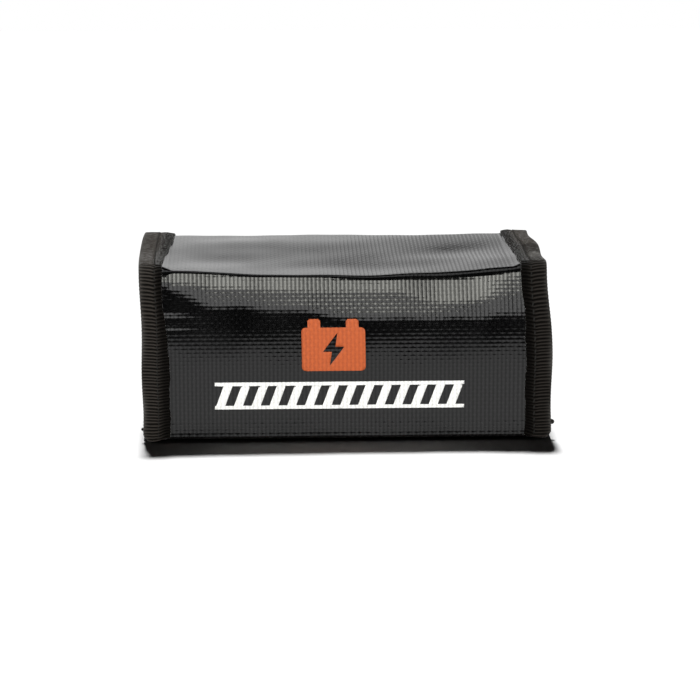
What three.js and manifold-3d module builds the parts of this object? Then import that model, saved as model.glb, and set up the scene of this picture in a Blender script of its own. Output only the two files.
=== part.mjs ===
// A fire-resistant bag for charging and storing lithium batteries: a soft box with a fold-over lid.
//
// Coated glass cloth wraps round the front, bottom and back. Each end is a recessed panel, and its seam stands out as
// a flange bound in ribbed tape. The lid hinges along the top back edge and its front flap folds over the front,
// where a hook strip grips a loop strip. Every wall is a sandwich of cloth, felt and lining.
//
// Millimetres. +X runs along the bag, +Y to the back, +Z up. The origin is on the floor under the middle of the bag.
import * as THREE from "three";
import { mergeVertices } from "three/addons/utils/BufferGeometryUtils.js";
import Module from "manifold-3d";

const wasm = await Module();
wasm.setup();

// Overall size, over the binding tape.
const WIDTH = 160;
const DEPTH = 75;
const HEIGHT = 68;
const CORNER = 6;

// Segments of a rounded corner of the bag, and of one of the print.
const CORNER_SEGMENTS = 8;
const PRINT_SEGMENTS = 5;

// Thickness of each material, and the air between two layers.
const CLOTH = 0.7;
const FELT = 0.8;
const LINING = 0.4;
const TAPE = 0.8;
const HOOK = 1.0;
const LOOP = 1.2;
const FILM = 0.15;
const GAP = 0.15;

// Binding tape and its seam.
const TAPE_LEG = 10.5;
const INNER_LEG_SHORTER = 0.6;
const SEAM_FROM_EDGE = 6.3;
const THREAD_WIDTH = 0.5;
const THREAD_DEPTH = 0.3;
const GROOVE_CLEARANCE = 0.05;
const THREAD_END_INSET = 1;

// How far a cutting tool runs past the surface that it cuts.
const OVERSHOOT = 1;

// Places along the height.
const FLAP_BOTTOM = 1.2;
const MOUTH_DROP = 4.6;
const MOUTH_TOP = HEIGHT - MOUTH_DROP;
const HEM_RETURN = 7.5;
const TAPE_OVERHANG = 0.4;

// Clearances along X: the end wall, the front mouth tape and the hem, each from the edge of the end's tape.
const END_WALL_CLEARANCE = 0.5;
const MOUTH_TAPE_CLEARANCE = 0.3;
const HEM_CLEARANCE = 0.2;

// The hook and loop strips: their place on the front, and the air between them when the flap is closed.
const STRIP_LOW = 10;
const STRIP_HIGH = 30;
const STRIP_HALF = 60;
const STRIP_SEAM_INSET = 2;
const STRIP_AIR = 0.3;

// Depth of each layer below the outer face of the tape: where it starts, and where it ends.
const layer = (start, thickness) => ({ start, end: start + thickness });
const after = (previous, thickness) => layer(previous.end + GAP, thickness);
const outerTape = layer(0, TAPE);
const cloth = after(outerTape, CLOTH);
const felt = after(cloth, FELT);
const lining = after(felt, LINING);
const innerTape = after(lining, TAPE);
const hook = after(lining, HOOK);
const lip = after(cloth, CLOTH);
const lipTape = after(lip, TAPE);
const film = layer(cloth.start - GAP - FILM, FILM);

// The body stands behind the flap, so its own outer face is set back by the thickness of the flap and strips.
const loopFace = hook.end + STRIP_AIR;
const BODY_SET_BACK = loopFace + LOOP + GAP - cloth.start;
const body = { front: -DEPTH / 2 + BODY_SET_BACK, back: DEPTH / 2 };

const HALF = WIDTH / 2;
const sheetHalf = HALF - TAPE - GAP;
const tapeStart = HALF - TAPE_LEG;
const endFace = tapeStart - END_WALL_CLEARANCE;
const seamX = HALF - SEAM_FROM_EDGE;
const edgeTop = MOUTH_TOP - TAPE - GAP;

// A layer that meets a fold stops short of it by its own depth, as a mitre does.
const mitre = (depthEnd) => depthEnd + GAP;

const MATERIALS = {
  cloth: new THREE.MeshStandardMaterial({ color: 0x161617, roughness: 0.35, metalness: 0 }),
  tape: new THREE.MeshStandardMaterial({ color: 0x23211f, roughness: 0.85, metalness: 0 }),
  felt: new THREE.MeshStandardMaterial({ color: 0xcfcabd, roughness: 1, metalness: 0 }),
  lining: new THREE.MeshStandardMaterial({ color: 0x8d8f90, roughness: 0.7, metalness: 0 }),
  strip: new THREE.MeshStandardMaterial({ color: 0x111111, roughness: 1, metalness: 0 }),
  thread: new THREE.MeshStandardMaterial({ color: 0x1b1a19, roughness: 0.7, metalness: 0 }),
  orange: new THREE.MeshStandardMaterial({ color: 0xcd6639, roughness: 0.6, metalness: 0 }),
  white: new THREE.MeshStandardMaterial({ color: 0xe6e6e4, roughness: 0.6, metalness: 0 }),
};

const bag = new THREE.Group();

function addNode(name, geometry, material) {
  const mesh = new THREE.Mesh(geometry, MATERIALS[material]);
  mesh.name = name;
  bag.add(mesh);
  return mesh;
}

// A closed geometry as a manifold-3d solid, and back again.
function toSolid(geometry) {
  const bare = geometry.clone();
  bare.deleteAttribute("normal");
  bare.deleteAttribute("uv");
  const merged = mergeVertices(bare, 1e-4);
  return new wasm.Manifold(
    new wasm.Mesh({
      numProp: 3,
      vertProperties: new Float32Array(merged.attributes.position.array),
      triVerts: new Uint32Array(merged.index.array),
    }),
  );
}

function toGeometry(solid) {
  const mesh = solid.getMesh();
  const geometry = new THREE.BufferGeometry();
  geometry.setAttribute("position", new THREE.BufferAttribute(new Float32Array(mesh.vertProperties), 3));
  geometry.setIndex(new THREE.BufferAttribute(new Uint32Array(mesh.triVerts), 1));
  geometry.computeVertexNormals();
  return geometry;
}

function join(geometries) {
  return toGeometry(geometries.map(toSolid).reduce((whole, piece) => whole.add(piece)));
}

function cut(geometry, tools) {
  return toGeometry(tools.map(toSolid).reduce((whole, tool) => whole.subtract(tool), toSolid(geometry)));
}

// A block between two values on each axis.
function block([x0, x1], [y0, y1], [z0, z1]) {
  const geometry = new THREE.BoxGeometry(x1 - x0, y1 - y0, z1 - z0);
  return geometry.translate((x0 + x1) / 2, (y0 + y1) / 2, (z0 + z1) / 2);
}

// A shape drawn in the Y-Z plane and extruded along X from x0 to x1.
const ALONG_X = new THREE.Matrix4().makeBasis(
  new THREE.Vector3(0, 1, 0),
  new THREE.Vector3(0, 0, 1),
  new THREE.Vector3(1, 0, 0),
);

function extrudeAlongX(shape, x0, x1) {
  const options = { depth: x1 - x0, bevelEnabled: false, curveSegments: CORNER_SEGMENTS };
  return new THREE.ExtrudeGeometry(shape, options).applyMatrix4(ALONG_X).translate(x0, 0, 0);
}

// A range made shorter at both of its ends, or longer when the distance is negative.
const inset = ([low, high], distance) => [low + distance, high - distance];

// The same on one end of the bag: side is -1 for the left end and 1 for the right, and x0 < x1 count from the middle.
const sideRange = (side, x0, x1) => (side < 0 ? [-x1, -x0] : [x0, x1]);

// The cross-section of the body's walls, a U of rounded corners between two depths below its outer face.
function wallBand(start, end, frontTop, backTop) {
  const shape = new THREE.Shape();
  const outerRadius = CORNER - start;
  const innerRadius = CORNER - end;
  const frontCentre = body.front + CORNER;
  const backCentre = body.back - CORNER;
  shape.moveTo(body.front + start, frontTop);
  shape.lineTo(body.front + start, CORNER);
  shape.absarc(frontCentre, CORNER, outerRadius, Math.PI, 1.5 * Math.PI, false);
  shape.absarc(backCentre, CORNER, outerRadius, 1.5 * Math.PI, 2 * Math.PI, false);
  shape.lineTo(body.back - start, backTop);
  shape.lineTo(body.back - end, backTop);
  shape.lineTo(body.back - end, CORNER);
  shape.absarc(backCentre, CORNER, innerRadius, 2 * Math.PI, 1.5 * Math.PI, true);
  shape.absarc(frontCentre, CORNER, innerRadius, 1.5 * Math.PI, Math.PI, true);
  shape.lineTo(body.front + end, frontTop);
  shape.closePath();
  return shape;
}

// The outline of an end wall: flat at the top, with the body's rounded corners at the bottom.
function endOutline(start, top) {
  const shape = new THREE.Shape();
  const radius = CORNER - start;
  shape.moveTo(body.front + start, top);
  shape.lineTo(body.front + start, CORNER);
  shape.absarc(body.front + CORNER, CORNER, radius, Math.PI, 1.5 * Math.PI, false);
  shape.absarc(body.back - CORNER, CORNER, radius, 1.5 * Math.PI, 2 * Math.PI, false);
  shape.lineTo(body.back - start, top);
  shape.closePath();
  return shape;
}

// The ends of each end wall's layers along X, from its outer face inwards.
const endCloth = { outer: endFace, inner: endFace - CLOTH };
const endFelt = { outer: endCloth.inner - GAP, inner: endCloth.inner - GAP - FELT };
const endLining = { outer: endFelt.inner - GAP, inner: endFelt.inner - GAP - LINING };
const roomHalf = endLining.inner - GAP;

// Body: the wrap of cloth, its felt boards and its lining.
function buildWrap() {
  const backTop = HEIGHT - mitre(cloth.end);
  const wrap = wallBand(cloth.start, cloth.end, edgeTop, backTop);
  addNode("wrap_panel", extrudeAlongX(wrap, -sheetHalf, sheetHalf), "cloth");

  const liner = wallBand(lining.start, lining.end, edgeTop, HEIGHT - mitre(innerTape.end));
  addNode("wrap_lining", extrudeAlongX(liner, -roomHalf, roomHalf), "lining");

  const along = [-roomHalf, roomHalf];
  const upright = [CORNER, edgeTop];
  const frontFelt = [body.front + felt.start, body.front + felt.end];
  const backFelt = [body.back - felt.end, body.back - felt.start];
  addNode("front_wall_felt", block(along, frontFelt, upright), "felt");
  addNode("back_wall_felt", block(along, backFelt, upright), "felt");
  const across = [body.front + CORNER, body.back - CORNER];
  addNode("bottom_felt", block(along, across, [felt.start, felt.end]), "felt");
}

// An end wall: a cloth pan whose lip lies against the inside of the wrap, with felt and lining inside it.
function buildEnd(side, name) {
  const plate = extrudeAlongX(endOutline(lip.start, edgeTop), ...sideRange(side, endCloth.inner, endCloth.outer));
  const lipShape = wallBand(lip.start, lip.end, edgeTop, HEIGHT - mitre(lip.end));
  const lipBand = extrudeAlongX(lipShape, ...sideRange(side, endCloth.inner, sheetHalf));
  addNode(`${name}_end_panel`, join([plate, lipBand]), "cloth");

  const feltShape = endOutline(lip.start, edgeTop);
  addNode(`${name}_end_felt`, extrudeAlongX(feltShape, ...sideRange(side, endFelt.inner, endFelt.outer)), "felt");
  const liningRange = sideRange(side, endLining.inner, endLining.outer);
  addNode(`${name}_end_lining`, extrudeAlongX(endOutline(lip.start, edgeTop), ...liningRange), "lining");
}

// The tape that binds an end seam: a leg outside the wrap, a fold round the raw edges and a leg inside the lip.
function buildBodyBinding(side, name) {
  const outerTop = HEIGHT - mitre(outerTape.end);
  const foldTop = HEIGHT - mitre(lipTape.end);
  const outerLeg = wallBand(outerTape.start, outerTape.end, MOUTH_TOP, outerTop);
  const fold = wallBand(outerTape.start, lipTape.end, MOUTH_TOP, foldTop);
  const innerLeg = wallBand(lipTape.start, lipTape.end, MOUTH_TOP, foldTop);
  const tape = join([
    extrudeAlongX(outerLeg, ...sideRange(side, tapeStart, HALF)),
    extrudeAlongX(fold, ...sideRange(side, HALF - TAPE, HALF)),
    extrudeAlongX(innerLeg, ...sideRange(side, tapeStart + INNER_LEG_SHORTER, HALF)),
  ]);
  const half = THREAD_WIDTH / 2;
  const wide = half + GROOVE_CLEARANCE;
  const deep = THREAD_DEPTH + GROOVE_CLEARANCE;
  const grooveShape = wallBand(-OVERSHOOT, deep, MOUTH_TOP + OVERSHOOT, outerTop + OVERSHOOT);
  const groove = extrudeAlongX(grooveShape, ...sideRange(side, seamX - wide, seamX + wide));
  addNode(`${name}_body_binding`, cut(tape, [groove]), "tape");
  const threadShape = wallBand(0, THREAD_DEPTH, MOUTH_TOP - THREAD_END_INSET, outerTop - THREAD_END_INSET);
  addNode(
    `${name}_body_seam_thread`,
    extrudeAlongX(threadShape, ...sideRange(side, seamX - half, seamX + half)),
    "thread",
  );
}

// The tape over the top edge of an end wall.
function buildEndMouthBinding(side, name) {
  const across = [body.front + lipTape.end + GAP, body.back - lipTape.end - GAP];
  const outer = [endCloth.outer + GAP, endCloth.outer + GAP + TAPE];
  const inner = [roomHalf - TAPE, roomHalf];
  const legs = [MOUTH_TOP - TAPE_LEG, MOUTH_TOP];
  const tape = join([
    block(sideRange(side, ...outer), across, legs),
    block(sideRange(side, inner[0], outer[1]), across, [MOUTH_TOP - TAPE, MOUTH_TOP]),
    block(sideRange(side, ...inner), across, legs),
  ]);
  const seamZ = MOUTH_TOP - SEAM_FROM_EDGE;
  const thread = seamBar("x", side, outer[1], across, seamZ);
  addNode(`${name}_mouth_binding`, cut(tape, [thread.groove]), "tape");
  addNode(`${name}_mouth_seam_thread`, thread.bar, "thread");
}

// A straight seam sunk in the outer face of a tape: the thread itself, and the groove that it lies in.
// face is where the tape's outer face is on that axis, and side says which way it looks.
function seamBar(axis, side, face, span, at) {
  const half = THREAD_WIDTH / 2;
  const wide = half + GROOVE_CLEARANCE;
  const deep = THREAD_DEPTH + GROOVE_CLEARANCE;
  const bar = sideRange(side, face - THREAD_DEPTH, face);
  const slot = sideRange(side, face - deep, face + OVERSHOOT);
  const short = inset(span, THREAD_END_INSET);
  const long = inset(span, -OVERSHOOT);
  if (axis === "x") {
    return { bar: block(bar, short, [at - half, at + half]), groove: block(slot, long, [at - wide, at + wide]) };
  }
  return { bar: block(short, bar, [at - half, at + half]), groove: block(long, slot, [at - wide, at + wide]) };
}

// The tape over the top edge of the front wall.
function buildFrontMouthBinding() {
  const front = (depth) => body.front + depth;
  const outerSpan = inset([-tapeStart, tapeStart], MOUTH_TAPE_CLEARANCE);
  const innerSpan = [-(roomHalf - TAPE - GAP), roomHalf - TAPE - GAP];
  const legs = [MOUTH_TOP - TAPE_LEG, MOUTH_TOP];
  const tape = join([
    block(outerSpan, [front(outerTape.start), front(outerTape.end)], legs),
    block(innerSpan, [front(outerTape.start), front(innerTape.end)], [MOUTH_TOP - TAPE, MOUTH_TOP]),
    block(innerSpan, [front(innerTape.start), front(innerTape.end)], legs),
  ]);
  const thread = seamBar("y", -1, -body.front, outerSpan, MOUTH_TOP - SEAM_FROM_EDGE);
  addNode("front_mouth_binding", cut(tape, [thread.groove]), "tape");
  addNode("front_mouth_seam_thread", thread.bar, "thread");
}

// A rectangular frame in the X-Z plane, inset from the edge of a strip: the seam that holds the strip on.
function stripFrame(fromEdge, width, depthRange) {
  const frame = (distance, range) =>
    block(inset([-STRIP_HALF, STRIP_HALF], distance), range, inset([STRIP_LOW, STRIP_HIGH], distance));
  const plate = frame(fromEdge - width / 2, depthRange);
  const hole = frame(fromEdge + width / 2, inset(depthRange, -OVERSHOOT));
  return cut(plate, [hole]);
}

// A fastening strip between two depths behind the bag's front, sewn down by a seam sunk in the face it shows.
function buildStrip(name, start, end, facesFront) {
  const front = -DEPTH / 2;
  const plate = block([-STRIP_HALF, STRIP_HALF], [front + start, front + end], [STRIP_LOW, STRIP_HIGH]);
  const deep = THREAD_DEPTH + GROOVE_CLEARANCE;
  const face = front + (facesFront ? start : end);
  const inwards = facesFront ? 1 : -1;
  const threadRange = [face, face + inwards * THREAD_DEPTH].sort((a, b) => a - b);
  const grooveRange = [face - inwards * OVERSHOOT, face + inwards * deep].sort((a, b) => a - b);
  const groove = stripFrame(STRIP_SEAM_INSET, THREAD_WIDTH + 2 * GROOVE_CLEARANCE, grooveRange);
  addNode(name, cut(plate, [groove]), "strip");
  addNode(`${name}_seam_thread`, stripFrame(STRIP_SEAM_INSET, THREAD_WIDTH, threadRange), "thread");
}

// Lid: flat sheets that stop short of the hinge behind and the crease in front.
function buildLid() {
  const sheet = (depth) =>
    block(
      [-sheetHalf, sheetHalf],
      [-DEPTH / 2 + mitre(depth.end), DEPTH / 2 - mitre(depth.end)],
      [HEIGHT - depth.end, HEIGHT - depth.start],
    );
  addNode("lid_panel", sheet(cloth), "cloth");
  addNode("lid_felt", sheet(felt), "felt");
  addNode("lid_lining", sheet(lining), "lining");
}

function buildLidBinding(side, name) {
  const reach = (depthEnd) => [-DEPTH / 2 + mitre(depthEnd), DEPTH / 2 - mitre(depthEnd)];
  const below = (start, end) => [HEIGHT - end, HEIGHT - start];
  const tape = join([
    block(sideRange(side, tapeStart, HALF), reach(outerTape.end), below(outerTape.start, outerTape.end)),
    block(sideRange(side, HALF - TAPE, HALF), reach(innerTape.end), below(outerTape.start, innerTape.end)),
    block(sideRange(side, tapeStart, HALF), reach(innerTape.end), below(innerTape.start, innerTape.end)),
  ]);
  const half = THREAD_WIDTH / 2;
  const wide = half + GROOVE_CLEARANCE;
  const span = reach(outerTape.end);
  const groove = block(
    sideRange(side, seamX - wide, seamX + wide),
    inset(span, -OVERSHOOT),
    [HEIGHT - THREAD_DEPTH - GROOVE_CLEARANCE, HEIGHT + OVERSHOOT],
  );
  const bar = block(
    sideRange(side, seamX - half, seamX + half),
    inset(span, THREAD_END_INSET),
    [HEIGHT - THREAD_DEPTH, HEIGHT],
  );
  addNode(`${name}_lid_binding`, cut(tape, [groove]), "tape");
  addNode(`${name}_lid_seam_thread`, bar, "thread");
}

// Flap: the cloth turns round its lower edge into a hem, so its section is a J.
function buildFlap() {
  const front = (depth) => -DEPTH / 2 + depth;
  const top = (depthEnd) => HEIGHT - mitre(depthEnd);
  const full = [-sheetHalf, sheetHalf];
  const between = inset([-tapeStart, tapeStart], HEM_CLEARANCE);
  const turned = cloth.end + GAP + FELT + GAP + LINING + GAP + CLOTH;
  const panel = join([
    block(full, [front(cloth.start), front(cloth.end)], [FLAP_BOTTOM, top(cloth.end)]),
    block(between, [front(cloth.start), front(turned)], [FLAP_BOTTOM, FLAP_BOTTOM + CLOTH]),
    block(between, [front(turned - CLOTH), front(turned)], [FLAP_BOTTOM, FLAP_BOTTOM + HEM_RETURN]),
  ]);
  addNode("flap_panel", panel, "cloth");
  const low = FLAP_BOTTOM + CLOTH + GAP;
  addNode("flap_felt", block(full, [front(felt.start), front(felt.end)], [low, top(felt.end)]), "felt");
  addNode("flap_lining", block(full, [front(lining.start), front(lining.end)], [low, top(lining.end)]), "lining");
}

function buildFlapBinding(side, name) {
  const range = (start, end) => [-DEPTH / 2 + start, -DEPTH / 2 + end];
  const upTo = (depthEnd) => [FLAP_BOTTOM - TAPE_OVERHANG, HEIGHT - mitre(depthEnd)];
  const tape = join([
    block(sideRange(side, tapeStart, HALF), range(outerTape.start, outerTape.end), upTo(outerTape.end)),
    block(sideRange(side, HALF - TAPE, HALF), range(outerTape.start, innerTape.end), upTo(innerTape.end)),
    block(sideRange(side, tapeStart, HALF), range(innerTape.start, innerTape.end), upTo(innerTape.end)),
  ]);
  const half = THREAD_WIDTH / 2;
  const wide = half + GROOVE_CLEARANCE;
  const span = upTo(outerTape.end);
  const groove = block(
    sideRange(side, seamX - wide, seamX + wide),
    range(-OVERSHOOT, THREAD_DEPTH + GROOVE_CLEARANCE),
    inset(span, -OVERSHOOT),
  );
  const bar = block(
    sideRange(side, seamX - half, seamX + half),
    range(0, THREAD_DEPTH),
    inset(span, THREAD_END_INSET),
  );
  addNode(`${name}_flap_binding`, cut(tape, [groove]), "tape");
  addNode(`${name}_flap_seam_thread`, bar, "thread");
}

// A film of print on the flap, drawn in the X-Z plane and facing the front.
const FACING_FRONT = new THREE.Matrix4().makeBasis(
  new THREE.Vector3(1, 0, 0),
  new THREE.Vector3(0, 0, 1),
  new THREE.Vector3(0, -1, 0),
);

function printFilm(shape) {
  const options = { depth: FILM, bevelEnabled: false, curveSegments: PRINT_SEGMENTS };
  return new THREE.ExtrudeGeometry(shape, options).applyMatrix4(FACING_FRONT).translate(0, -DEPTH / 2 + film.end, 0);
}

// Driving sizes of the print: a battery with a lightning bolt cut out of it, over a band of slanted bars.
const EMBLEM = { x: -4.4, low: 28.5, width: 25, height: 17.2, round: 1.6 };
const BAND = { x: -2.1, low: 13.3, width: 98, height: 10.8, rail: 1.4, bars: 14, slant: 4 };

const POST = { width: 5, height: 3.6, round: 0.8, fromSide: 5, overlap: 1 };

// The bolt's outline about the middle of the battery, going round from its upper tip.
const BOLT = [
  [1.6, 6.6],
  [-4.2, -1.0],
  [-0.7, -1.0],
  [-1.6, -6.6],
  [4.2, 1.0],
  [0.7, 1.0],
];

function roundedRect(shape, x0, y0, x1, y1, radius) {
  shape.moveTo(x0 + radius, y0);
  shape.lineTo(x1 - radius, y0);
  shape.absarc(x1 - radius, y0 + radius, radius, -Math.PI / 2, 0, false);
  shape.absarc(x1 - radius, y1 - radius, radius, 0, Math.PI / 2, false);
  shape.absarc(x0 + radius, y1 - radius, radius, Math.PI / 2, Math.PI, false);
  shape.absarc(x0 + radius, y0 + radius, radius, Math.PI, 1.5 * Math.PI, false);
}

function buildEmblem() {
  const { x, low, width, height, round } = EMBLEM;
  const left = x - width / 2;
  const right = x + width / 2;
  const top = low + height;
  const caseShape = new THREE.Shape();
  roundedRect(caseShape, left, low, right, top, round);
  const bolt = new THREE.Path();
  const middle = low + height / 2;
  bolt.setFromPoints(BOLT.map(([px, pz]) => new THREE.Vector2(x + px, middle + pz)));
  bolt.closePath();
  caseShape.holes.push(bolt);
  const posts = [left + POST.fromSide, right - POST.fromSide].map((centre) => {
    const shape = new THREE.Shape();
    const reach = POST.width / 2;
    roundedRect(shape, centre - reach, top - POST.overlap, centre + reach, top + POST.height, POST.round);
    return printFilm(shape);
  });
  addNode("battery_emblem_print", join([printFilm(caseShape), ...posts]), "orange");
}

function buildBand() {
  const { x, low, width, height, rail, bars, slant } = BAND;
  const outline = (points) => new THREE.Shape(points.map(([px, pz]) => new THREE.Vector2(x + px, low + pz)));
  const half = width / 2;
  const railShape = (z0) =>
    outline([
      [-half, z0],
      [half, z0],
      [half, z0 + rail],
      [-half, z0 + rail],
    ]);
  // Each bar is half a pitch wide, and the last one ends at the end of the rails.
  const bar = (width - slant) / (2 * bars - 1);
  const pitch = 2 * bar;
  const barShape = (start) =>
    outline([
      [start, rail / 2],
      [start + bar, rail / 2],
      [start + bar + slant, height - rail / 2],
      [start + slant, height - rail / 2],
    ]);
  const slanted = Array.from({ length: bars }, (_, i) => barShape(-half + i * pitch));
  const shapes = [railShape(0), railShape(height - rail), ...slanted];
  addNode("slanted_band_print", join(shapes.map(printFilm)), "white");
}

buildWrap();
for (const [side, name] of [
  [-1, "left"],
  [1, "right"],
]) {
  buildEnd(side, name);
  buildBodyBinding(side, name);
  buildEndMouthBinding(side, name);
  buildLidBinding(side, name);
  buildFlapBinding(side, name);
}
buildFrontMouthBinding();
buildStrip("loop_strip", loopFace, loopFace + LOOP, true);
buildLid();
buildFlap();
buildStrip("hook_strip", hook.start, hook.end, false);
buildEmblem();
buildBand();

export default bag;
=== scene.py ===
"""The looks of a battery bag, round its CAD frame: coated cloth, tape, stitching, lining and print."""

import math

import bmesh
import bpy
import numpy as np
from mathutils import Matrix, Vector


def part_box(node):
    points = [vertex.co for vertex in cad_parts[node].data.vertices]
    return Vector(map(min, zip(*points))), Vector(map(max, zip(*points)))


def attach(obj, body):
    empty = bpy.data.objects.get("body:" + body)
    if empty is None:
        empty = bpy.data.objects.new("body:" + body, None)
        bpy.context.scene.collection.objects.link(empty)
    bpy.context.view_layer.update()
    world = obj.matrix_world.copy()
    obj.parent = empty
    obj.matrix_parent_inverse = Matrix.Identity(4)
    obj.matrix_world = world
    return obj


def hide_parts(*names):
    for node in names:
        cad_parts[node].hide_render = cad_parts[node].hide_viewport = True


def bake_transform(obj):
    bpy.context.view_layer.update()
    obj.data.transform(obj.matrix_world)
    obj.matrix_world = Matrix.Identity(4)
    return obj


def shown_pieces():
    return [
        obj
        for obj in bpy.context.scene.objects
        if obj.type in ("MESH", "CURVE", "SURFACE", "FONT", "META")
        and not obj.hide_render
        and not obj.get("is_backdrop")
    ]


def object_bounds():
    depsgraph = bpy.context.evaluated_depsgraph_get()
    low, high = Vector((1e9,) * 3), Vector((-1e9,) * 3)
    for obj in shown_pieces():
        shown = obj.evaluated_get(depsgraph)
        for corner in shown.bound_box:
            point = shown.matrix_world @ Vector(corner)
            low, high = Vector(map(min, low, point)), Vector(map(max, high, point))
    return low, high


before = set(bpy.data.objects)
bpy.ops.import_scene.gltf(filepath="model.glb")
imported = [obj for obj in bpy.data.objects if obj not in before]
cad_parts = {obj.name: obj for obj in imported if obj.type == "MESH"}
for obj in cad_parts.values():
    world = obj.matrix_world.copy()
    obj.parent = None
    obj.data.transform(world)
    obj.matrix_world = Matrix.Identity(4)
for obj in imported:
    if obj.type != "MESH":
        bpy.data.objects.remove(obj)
cad_low, cad_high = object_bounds()

# Shapes are worked out in millimetres, and become metres when their mesh is made.
MM = 0.001
RANDOM = np.random.default_rng(7)
SIDES = ((-1, "left"), (1, "right"))


def box_mm(node):
    """Lowest and highest corner of a CAD node, in millimetres."""
    low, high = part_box(node)
    return np.array(low) / MM, np.array(high) / MM


# Driving sizes, read from the frame.
HALF = cad_high.x / MM
BACK = cad_high.y / MM
FRONT = cad_low.y / MM
TOP = cad_high.z / MM
BODY_FRONT = box_mm("front_mouth_binding")[0][1]
MOUTH = box_mm("front_mouth_binding")[1][2]
FLAP_LOW = box_mm("left_flap_binding")[0][2]
TAPE_X = box_mm("right_lid_binding")[0][0]
TAPE_WIDTH = HALF - TAPE_X
THREAD_RADIUS = 0.25
SEAM_X = box_mm("right_lid_seam_thread")[0][0] + THREAD_RADIUS
SEAM_INSET = HALF - SEAM_X
SHEET_HALF = box_mm("lid_panel")[1][0]
ROOM_HALF = box_mm("wrap_lining")[1][0]


def depth_of(node):
    """How deep a layer of the lid lies below the outer face of the tape: where it starts and ends."""
    low, high = box_mm(node)
    return TOP - high[2], TOP - low[2]


CLOTH = depth_of("lid_panel")
FELT = depth_of("lid_felt")
LINING = depth_of("lid_lining")
TAPE_DEPTH = depth_of("left_lid_binding")[1]
CLOTH_THICK = CLOTH[1] - CLOTH[0]
TAPE_THICK = 0.8

# The air between two layers, and how far the cloth and lining end below the fold of the mouth's tape.
AIR = 0.15
MOUTH_INSET = 0.95
BODY_TAPE_DEPTH = BACK - box_mm("left_mouth_binding")[1][1] - AIR

TOP_CORNER = TAPE_DEPTH + 0.2
LOW_CORNER = 6.0


# ----------------------------------------------------------------------
# The shape of the whole bag


def smooth(low, high, value):
    """0 before low, 1 after high, and a smooth step between them."""
    t = np.clip((value - low) / (high - low), 0, 1)
    return t * t * (3 - 2 * t)


def ramp_area(value, low, high):
    """The area under a ramp that rises from 0 at low to 1 at high and stays there."""
    t = np.clip(value, low, high) - low
    return t * t / (2 * (high - low)) + np.maximum(value - high, 0)


def hump(x, y, centre, size):
    """A smooth bump of height 1 in a plane."""
    return np.exp(-(((x - centre[0]) / size[0]) ** 2) - ((y - centre[1]) / size[1]) ** 2)


class FoldPath:
    """The line that the covering follows, seen from the end: from the flap's hem up the front, over the lid,
    down the back, under the bag and up its own front wall. Layers lie inside it. It only turns right."""

    def __init__(self, start, direction, moves):
        self.stretches = []
        self.length = 0.0
        position = np.array(start, float)
        along = np.array(direction, float)
        for kind, size in moves:
            inward = np.array([along[1], -along[0]])
            self.stretches.append((kind, size, self.length, position, along, inward))
            self.length += size if kind == "line" else size * math.pi / 2
            position = position + along * size
            if kind == "arc":
                position = position + inward * size
                along = inward

    def at(self, s, depth, squareness):
        """Positions (y, z) at distance s along the path and a depth inside it."""
        s, depth, squareness = np.broadcast_arrays(s, depth, squareness)
        out = np.zeros(s.shape + (2,))
        for index, (kind, size, start, position, along, inward) in enumerate(self.stretches):
            here = (s >= start) | (index == 0)
            if kind == "line":
                point = position + along * (s - start)[..., None] + inward * depth[..., None]
            else:
                angle = np.clip((s - start) / size, 0, math.pi / 2)
                radius = (size - depth)[..., None]
                side = (np.cos(angle) ** squareness)[..., None]
                ahead = (np.sin(angle) ** squareness)[..., None]
                point = position + inward * size + radius * (along * ahead - inward * side)
            out = np.where(here[..., None], point, out)
        return out


PATH = FoldPath(
    (FRONT, FLAP_LOW),
    (0, 1),
    [
        ("line", TOP - TOP_CORNER - FLAP_LOW),
        ("arc", TOP_CORNER),
        ("line", BACK - FRONT - 2 * TOP_CORNER),
        ("arc", TOP_CORNER),
        ("line", TOP - TOP_CORNER - LOW_CORNER),
        ("arc", LOW_CORNER),
        ("line", BACK - BODY_FRONT - 2 * LOW_CORNER),
        ("arc", LOW_CORNER),
        ("line", MOUTH - LOW_CORNER),
    ],
)
# Where the stretches start, as distances along the path.
_, S_FRONT_FOLD, S_LID, S_LID_END, S_BACK, _, S_FLOOR, S_FLOOR_END, S_WALL = (
    stretch[2] for stretch in PATH.stretches
)
S_MOUTH = PATH.length
S_FLAP_JOIN = S_LID + 2
S_MID_LID = (S_LID + S_LID_END) / 2
S_BACK_JOIN = S_BACK + 14
# The top creases: how round they are at the left, how much rounder at the right, and where that changes.
SHARP_CREASE = 0.2
EXTRA_ROUNDNESS = 0.46
ROLL_START = -HALF * 0.27
ROLL_END = HALF * 0.7


def squareness_at(x):
    """How round the top creases are: nearly square at the left, and a soft roll towards the right."""
    crease = SHARP_CREASE + EXTRA_ROUNDNESS * smooth(ROLL_START, ROLL_END, x)
    return crease + (1 - crease) * smooth(TAPE_X - 3, TAPE_X + 1, np.abs(x))


# The front: the height of its two soft breaks, how steeply it falls back above each, in its middle and at
# its foot, and how far it stands forward at the bottom.
LOW_BREAK = 50
HIGH_BREAK = 61.5
LOW_SLOPE = 0.15
HIGH_SLOPE = 0.13
MIDDLE_SLOPE = 0.1
FOOT_SLOPE = 0.06
FRONT_PROUD = 2.2


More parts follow.
